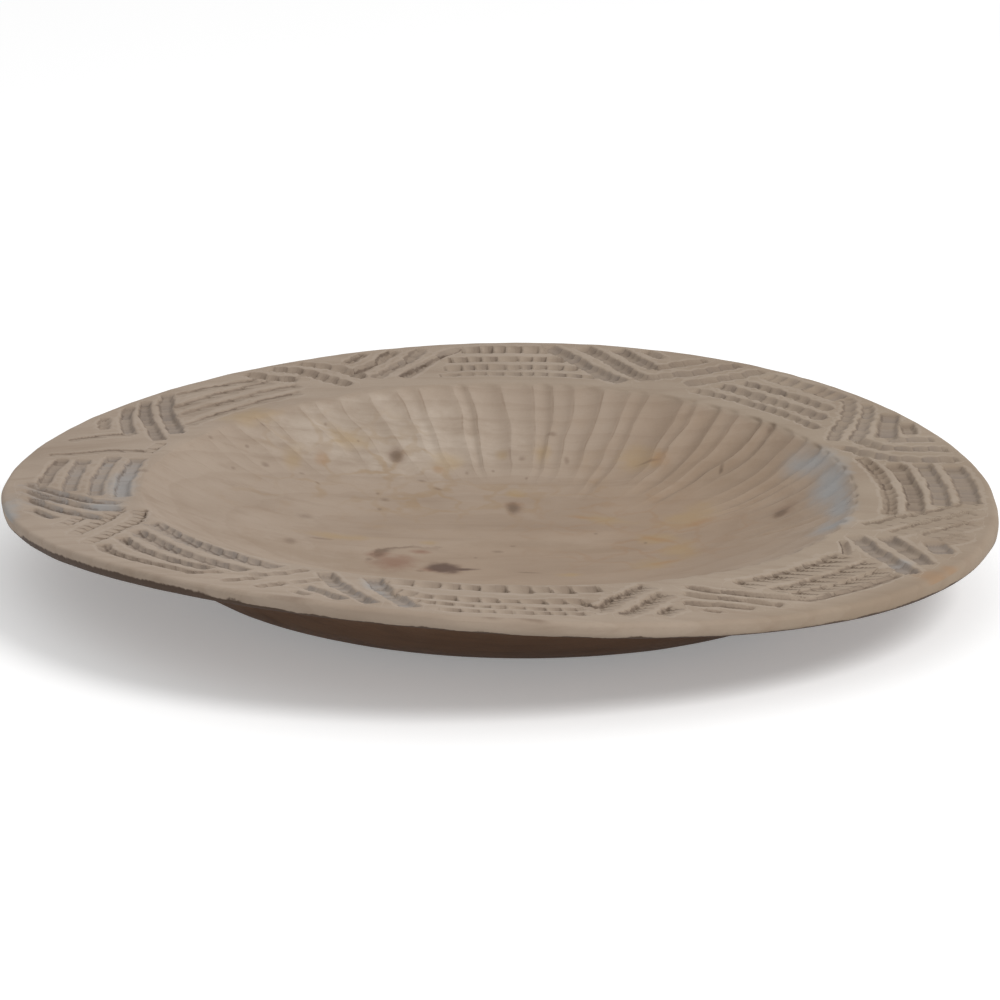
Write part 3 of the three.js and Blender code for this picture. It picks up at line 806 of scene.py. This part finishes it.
# Darker and paler grain tints; they also give the flutes their painted shade and painted highlight
DARKER_GRAIN_AND_SHADE = display(141, 122, 104)
PALER_GRAIN_AND_HIGHLIGHT = display(176, 159, 142)
warm = in_the_bowl * mark(15, -20, 115, 115, ragged=0.5)
right = in_the_bowl * mark(85, 45, 62, 95, ragged=0.4)
colour = laid(warm, RIM_WOOD, FLOOR_WOOD)
colour = laid(right * 0.8, colour, RIGHT_WOOD)
yellowed_rim = (1 - in_the_bowl) * mark(240, 60, 300, 450, ragged=0.3)
colour = laid(yellowed_rim * 0.85, colour, display(154, 138, 120))
worn_edge = rim_share.ramp(0.80, 0.97) * mark(150, -135, 75, 60, ragged=0.4)
colour = laid(worn_edge * 0.6, colour, display(140, 122, 102))
pale_wall = in_the_bowl * mark(-54, 112, 56, 26)
colour = laid(pale_wall, colour, display(188, 174, 159))

# The grain, from its broad clouds to its finest mottle
for grain, strength, tint in (
    (cloud.ramp(0.46, 0.70), 0.35, DARKER_GRAIN_AND_SHADE),
    (cloud.ramp(0.50, 0.28), 0.30, PALER_GRAIN_AND_HIGHLIGHT),
    (streaks.ramp(0.52, 0.72), 0.32, DARKER_GRAIN_AND_SHADE),
    (fibres.ramp(0.56, 0.75), 0.16, DARKER_GRAIN_AND_SHADE),
    (mottle.ramp(0.55, 0.75), 0.10, DARKER_GRAIN_AND_SHADE),
):
    colour = laid(grain * strength, colour, tint)

# Growth rings of a board sawn some way above the heart
HEART = (-0.030, 0.015, -0.120)
RING_SPACING = 0.0085
ALONG_TRUNK = (0.25, 1.0, 1.0)
out_in_tree = length_of(moved("MULTIPLY", moved("SUBTRACT", place, HEART), ALONG_TRUNK))
year = (out_in_tree / RING_SPACING + cloud * 1.6 + streaks * 0.5).fraction()
late_wood = year.ramp(0.45, 0.92) * year.ramp(1.0, 0.93)
colour = laid(late_wood * 0.13, colour, display(128, 106, 86))

# Darker patches in the bowl: smudges on the floor, a band by the near-left lip, and painted shade on
# the right wall, where less light falls. Here and below, each mark is its middle along X and Y, its
# half sizes along them, and its turn where it has one.
SMUDGE_AND_SHADE_MARKS = [
    (18, 4, 28, 7, -4), (-75, -22, 46, 13, -14), (40, -4, 30, 4), (98, 66, 30, 22, -40),
]
colour = laid(marks_of(SMUDGE_AND_SHADE_MARKS) * in_the_bowl * 0.45, colour, display(142, 122, 102))

# Yellow-brown outlines round paler patches on the far left wall, and orange veins on the floor
wobble = node("TexNoise", {}, ("Vector", place), ("Scale", 70.0), ("Detail", 2.0)).outputs["Color"]
shifted = moved("MULTIPLY_ADD", wobble, (0.022, 0.022, 0.022), place)
cells = node("TexVoronoi", {"feature": "DISTANCE_TO_EDGE"}, ("Vector", shifted), ("Scale", 52.0))
outlines = Amount(cells.outputs["Distance"]).ramp(0.11, 0.02) * cloud.ramp(0.40, 0.56)
outlined = in_the_bowl * mark(-45, 78, 85, 42)
colour = laid(outlined * outlines * 0.45, colour, display(150, 123, 88))
veined = in_the_bowl * mark(58, 14, 48, 46)
colour = laid(veined * outlines * 0.36, colour, display(148, 116, 86))

# Yellow, orange and reddish stains
YELLOW_MARKS = [
    (-61, 105, 9, 6.5), (-105, 104, 13, 7, 28), (-100, 104, 15, 2.6, 38), (-20, 99, 6.5, 8.5),
    (20, 107, 3.5, 7), (3, 106, 3, 4), (60, 95, 9, 10), (45, 37, 12, 5, -25), (80, 32, 15, 10, 40),
    (66, 9, 9, 7, -20), (64, -27, 10, 7, 20), (74, -10, 8, 14), (-85, 84, 4, 8), (8, 71, 4.5, 5),
    (30, -38, 5, 3), (-27, 7, 3.4, 4), (-64, 10, 14, 4),
]
ORANGE_MARKS = [
    (-73, 89, 3.2, 7), (-24, 92, 2.6, 3.4), (66, 8, 8, 1.8, -35), (68, -26, 7, 2.2, 15),
    (69, 92, 4, 5), (36, 41, 6, 1.8, -20), (84, 24, 7, 3, 30), (170, -113, 8, 8, 40),
    (178, -103, 5, 6, 50), (8, 58, 4, 3),
]
RED_MARKS = [(-41, -22, 9, 12), (-47, -12, 5, 6), (-30, -6, 4, 3), (-26, -31, 5, 3)]
for stains, ragged, strength, tint in (
    (YELLOW_MARKS, 0.9, 0.46, display(164, 138, 98)),
    (ORANGE_MARKS, 0.9, 0.46, display(154, 118, 83)),
    (RED_MARKS, 0.8, 0.70, display(130, 95, 76)),
):
    colour = laid(marks_of(stains, ragged=ragged) * above * strength, colour, tint)
inside_stain = mark(-31, -18, 16.6, 17.8, soft=0.2, ragged=0.5)
stain_border = mark(-31, -17, 19, 20, soft=0.10, ragged=0.5) * (1 - inside_stain)
stain_border = stain_border * mark(-43, -4, 22, 18, ragged=0.8) * above
colour = laid(stain_border * 0.60, colour, display(104, 84, 68))

# Painted shade on each flute towards its right-hand side, a thin painted shadow line that parts it
# from the next, and a painted highlight towards its left-hand side
flute_place = stored("flute_place").fraction() + (mottle - 0.5) * 0.10
fluting = stored("fluted")
painted_flute_shade = fluting * flute_place.ramp(0.75, 0.05)
painted_flute_shadow_line = fluting * flute_place.ramp(0.13, 0.02) * blotches.ramp(0.42, 0.62)
colour = laid(painted_flute_shade * 0.32, colour, DARKER_GRAIN_AND_SHADE)
colour = laid(painted_flute_shadow_line * 0.36, colour, display(120, 98, 78))
colour = laid(fluting * flute_place.ramp(0.75, 1.0) * 0.22, colour, PALER_GRAIN_AND_HIGHLIGHT)

# A painted grey sheen of the white sky in the bowl's right end, at its left lip and on the left edge
SKY_SHEEN_GREY = display(152, 151, 150)
SKY_SHEEN_MARKS = [
    (130, 45, 8, 15, 30), (137, 15, 8, 25), (139, -14, 6, 26), (134, -42, 7, 14, 18), (-197, -34, 6, 30),
    (-152, 8, 6, 26), (-158, -25, 8, 8), (-46, -158, 4, 12, 20), (157, -98, 5, 6),
]
painted_sky_sheen = marks_of(SKY_SHEEN_MARKS, ragged=0.7) * above
colour = laid(painted_sky_sheen * (0.66 + cloud * 0.4), colour, SKY_SHEEN_GREY)

# Dirt and painted shade in the carving: grooves darker than ridges, greyer where weathered, with
# painted shade gathering towards each nick's end, and darkest in a painted shade line along one side
# of each groove and in a painted shadow where each nick stops. The ridges beside are rubbed pale and
# given a painted highlight.
HATCHES_IN_NICK = 4
off_middle = stored("groove_side") + (blotches - 0.5) * 0.5 + (mottle - 0.5) * 0.35
in_groove = off_middle.ramp(1.05, 0.82)
ridge_wear_and_highlight = off_middle.ramp(1.0, 1.15) * off_middle.ramp(1.75, 1.45)
nick_count = stored("nick_place")
along_nick = nick_count.fraction()
# Painted shade gathering towards each nick's end
nick_shade_factor = 1 - stored("shade_gathered") * along_nick.ramp(0.85, 0.10)
hatching = (nick_count * HATCHES_IN_NICK + mottle * 0.8).fraction().ramp(0.70, 0.95) * 0.30 + 0.85
# A painted shadow where each nick stops
painted_nick_end_shadow = along_nick.ramp(0.83, 0.97) * stored("end_shadow_strength") * in_groove
# A painted shade line along one side of each groove
near_line = (stored("line_gap") + (mottle - 0.5) * 0.5).absolute().ramp(0.28, 0.05)
painted_shade_line = near_line * stored("shade_line_strength") * in_groove
soil_and_shade_tint = laid(stored("weathered"), display(124, 107, 91), display(155, 149, 145))
# The ridges beside each groove: rubbed pale, with a painted highlight
colour = laid(ridge_wear_and_highlight * (0.1 + blotches * 0.4), colour, display(176, 162, 148))
# Dirt and painted shade filling each groove
groove_soil_and_shade = in_groove * stored("soil_and_shade") * nick_shade_factor * hatching
colour = laid(groove_soil_and_shade * (0.9 + (blotches - 0.5)), colour, soil_and_shade_tint)
colour = laid(painted_nick_end_shadow, colour, display(98, 82, 67))
colour = laid(painted_shade_line * (0.75 + (blotches - 0.5) * 1.2), colour, display(92, 76, 63))

# Knots, and the dark flecks left by insects and by use
KNOT_MARKS = [(-21, -28, 7, 7.5), (-17, -29.5, 10, 2)]
PALE_KNOT_MARKS = [
    (-42, 100, 3, 4.4), (7.4, 54, 2.8, 7), (116, 11, 3.4, 4.2, -35), (94, 71, 1, 3.6, -10),
]
KNOT_RINGS = [(-21, -28, 8.5, 9), (-42, 100, 4.6, 6.4), (8, 54, 4, 9), (117, 13, 5, 7, -35)]
FLECK_MARKS = [
    (-46, -6, 3, 5, -30), (-12, 91, 1.2, 2.2), (-31, 81, 2.2, 1.2, -20), (-24, 74, 2, 1, -30),
    (-46, 59, 2, 2.4), (-49, 65, 0.8, 1.2), (-48, 48, 1, 1.6), (-72, 112, 0.8, 1),
    (-58, 106, 0.7, 0.9), (-74, 67, 1.6, 0.8, -40), (-81, 73, 1.3, 1.2), (-96, 73, 1.7, 1.8),
    (-104, 83, 0.9, 1.3), (-98, 100, 1.5, 0.8, -35), (-119, 79, 1.2, 1.6), (-72, 5, 5, 1.3, 3),
    (-83, -5, 2.4, 4.5), (-78, 30, 4, 3.5), (13, 86, 0.8, 1.4), (-1, 93, 0.8, 1.3),
    (11, 103, 1.6, 2), (24, 118, 2.3, 1.2), (64, 91, 4.4, 0.8, 3), (41, 19, 1, 1.2),
    (61, 4, 0.7, 1.3), (1, -5, 2.4, 1.8), (7, 3, 1.5, 1), (-8, -14, 1, 1.2),
    (-47, -12, 1.6, 3.4, -30), (-51, -19, 1.6, 2.6, -20), (-144, 27, 1.8, 2.2),
    (13, -34, 5, 0.9, -8), (-30, -33, 2, 1.4), (14, -198, 7, 1), (-2, -199, 4, 1),
    (60, -193, 3, 1), (-75, -185, 9, 2, -20), (115, 84, 1.6, 2.2), (-109, 62, 1.1, 1.4),
    (30, 100, 1.2, 3),
]
for spots, soft, ragged, strength, tint in (
    (KNOT_RINGS, 0.8, 0.6, 0.55, display(128, 103, 84)),
    (PALE_KNOT_MARKS, 0.8, 0.9, 0.66, display(100, 83, 68)),
    (KNOT_MARKS, 0.5, 0.6, 0.88, display(86, 66, 56)),
    (FLECK_MARKS, 0.9, 0.9, 0.42, display(104, 84, 68)),
):
    spotted = marks_of(spots, soft=soft, ragged=ragged) * above
    colour = laid(spotted * strength, colour, tint)

# The darkened underside
dark = (stored("darkened") + (blotches - 0.5) * 0.5 + (mottle - 0.5) * 0.6).ramp(0.35, 0.65)
UNDER_WOOD = display(118, 89, 67)
UNDER_SHADE = display(96, 71, 53)
under_colour = laid(streaks.ramp(0.42, 0.68) * 0.6, UNDER_WOOD, UNDER_SHADE)
under_colour = laid(cloud.ramp(0.45, 0.65) * 0.3, under_colour, UNDER_SHADE)
# Darkest under the rim's edge: dark wood, with painted shade where the edge overhangs
under_colour = laid(rim_share.ramp(0.75, 0.92) * 0.90, under_colour, display(66, 51, 40))
colour = laid(dark, colour, under_colour)
give(shader.inputs["Base Color"], colour)

# Dry wood is dull, and the dark underside a little less so. The grain and the finest lines are
# too small for the mesh.
DRY_ROUGHNESS = 0.80
DRY_SPECULAR = 0.3
RELIEF_STRENGTH = 0.55
RELIEF_HEIGHT = 0.0006
give(shader.inputs["Roughness"], DRY_ROUGHNESS - dark * 0.12 + (blotches - 0.5) * 0.15)
shader.inputs["Specular IOR Level"].default_value = DRY_SPECULAR
grain_relief = fibres * 0.35 + streaks * 0.45 + mottle * 0.25
relief = grain_relief - painted_nick_end_shadow * 1.2 - painted_shade_line * 0.6 - painted_flute_shadow_line * 0.5
bump = node("Bump", {}, ("Strength", RELIEF_STRENGTH), ("Distance", RELIEF_HEIGHT), ("Height", relief))
give(shader.inputs["Normal"], bump.outputs[0])
mesh.materials.append(wood)

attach(plate, "root")
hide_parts("carved_plate")

# The floor
# A plain pale floor, which takes the plate's shadow. Seen directly it is nearly white.

FLOOR_SIZE = 14.0
FLOOR_LEVEL = -0.0005
FLOOR_PAINT = (0.80, 0.80, 0.80, 1)
FLOOR_PAINT_SEEN = (0.95, 0.95, 0.95, 1)
FLOOR_GLOW_SEEN = (0.26, 0.26, 0.26, 1)
BLACK = (0, 0, 0, 1)
WHITE = (1, 1, 1, 1)

bpy.ops.object.select_all(action="DESELECT")
bpy.ops.mesh.primitive_plane_add(size=FLOOR_SIZE, location=(0, 0, FLOOR_LEVEL))
floor = bpy.context.object
floor.name = "floor"
floor_paint = bpy.data.materials.new("pale_floor")
floor_paint.use_nodes = True
floor.data.materials.append(floor_paint)
tree = floor_paint.node_tree
floor_shader = tree.nodes["Principled BSDF"]


def seen_directly():
    """1 where a ray comes from the camera, or by way of a gloss or a clear piece"""
    ray = node("LightPath", {}).outputs
    looked_at = Amount(ray["Is Camera Ray"]) | Amount(ray["Is Glossy Ray"])
    return looked_at | Amount(ray["Is Transmission Ray"])


floor_seen = seen_directly()
give(floor_shader.inputs["Base Color"], laid(floor_seen, FLOOR_PAINT, FLOOR_PAINT_SEEN))
give(floor_shader.inputs["Emission Color"], laid(floor_seen, BLACK, FLOOR_GLOW_SEEN))
floor_shader.inputs["Emission Strength"].default_value = 1.0
floor_shader.inputs["Roughness"].default_value = 0.9
floor_shader.inputs["Specular IOR Level"].default_value = 0.0

# The light
# An even white sky, and one large soft lamp high on the right, a little towards the viewer.

SKY_STRENGTH = 0.62
LAMP_PLACE = (1.5, -1.1, 1.9)
LAMP_WIDTH = 1.1
LAMP_WATTS = 31.0

world = bpy.data.worlds.new("studio")
bpy.context.scene.world = world
world.use_nodes = True
tree = world.node_tree
sky = tree.nodes["Background"]
sky.inputs["Color"].default_value = WHITE
sky.inputs["Strength"].default_value = SKY_STRENGTH
bright = node("Background", {}, ("Color", WHITE), ("Strength", 1.0))
choice = node("MixShader", {}, (0, seen_directly()), (1, sky.outputs[0]), (2, bright.outputs[0]))
give(tree.nodes["World Output"].inputs["Surface"], choice.outputs[0])

bpy.ops.object.light_add(type="AREA", location=LAMP_PLACE)
lamp = bpy.context.object
lamp.name = "soft_lamp"
lamp.data.shape = "DISK"
lamp.data.size = LAMP_WIDTH
lamp.data.energy = LAMP_WATTS
lamp.rotation_euler = (-lamp.location).to_track_quat("-Z", "Y").to_euler()

# The camera
# A long lens, low over the near edge of the rim, at the photograph's angle.

CAMERA_ELEVATION = math.radians(16.3)
CAMERA_DISTANCE = 2.4
CAMERA_LENS = 213.5
SENSOR = 36.0
IMAGE_SIDE = 1000
RIM_CENTRE_PIXEL = (495.5, 479.0)

camera_data = bpy.data.cameras.new("camera")
camera = bpy.data.objects.new("camera", camera_data)
bpy.context.scene.collection.objects.link(camera)
bpy.context.scene.camera = camera
camera_data.lens = CAMERA_LENS
camera_data.sensor_width = SENSOR
camera_data.shift_x = (IMAGE_SIDE / 2 - RIM_CENTRE_PIXEL[0]) / IMAGE_SIDE
camera_data.shift_y = (RIM_CENTRE_PIXEL[1] - IMAGE_SIDE / 2) / IMAGE_SIDE
rim_centre = Vector((0, 0, PLATE_HEIGHT))
backwards = Vector((0, -math.cos(CAMERA_ELEVATION), math.sin(CAMERA_ELEVATION)))
camera.location = rim_centre + backwards * CAMERA_DISTANCE
camera.rotation_euler = (-backwards).to_track_quat("-Z", "Y").to_euler()

bpy.context.scene.view_settings.view_transform = "Standard"
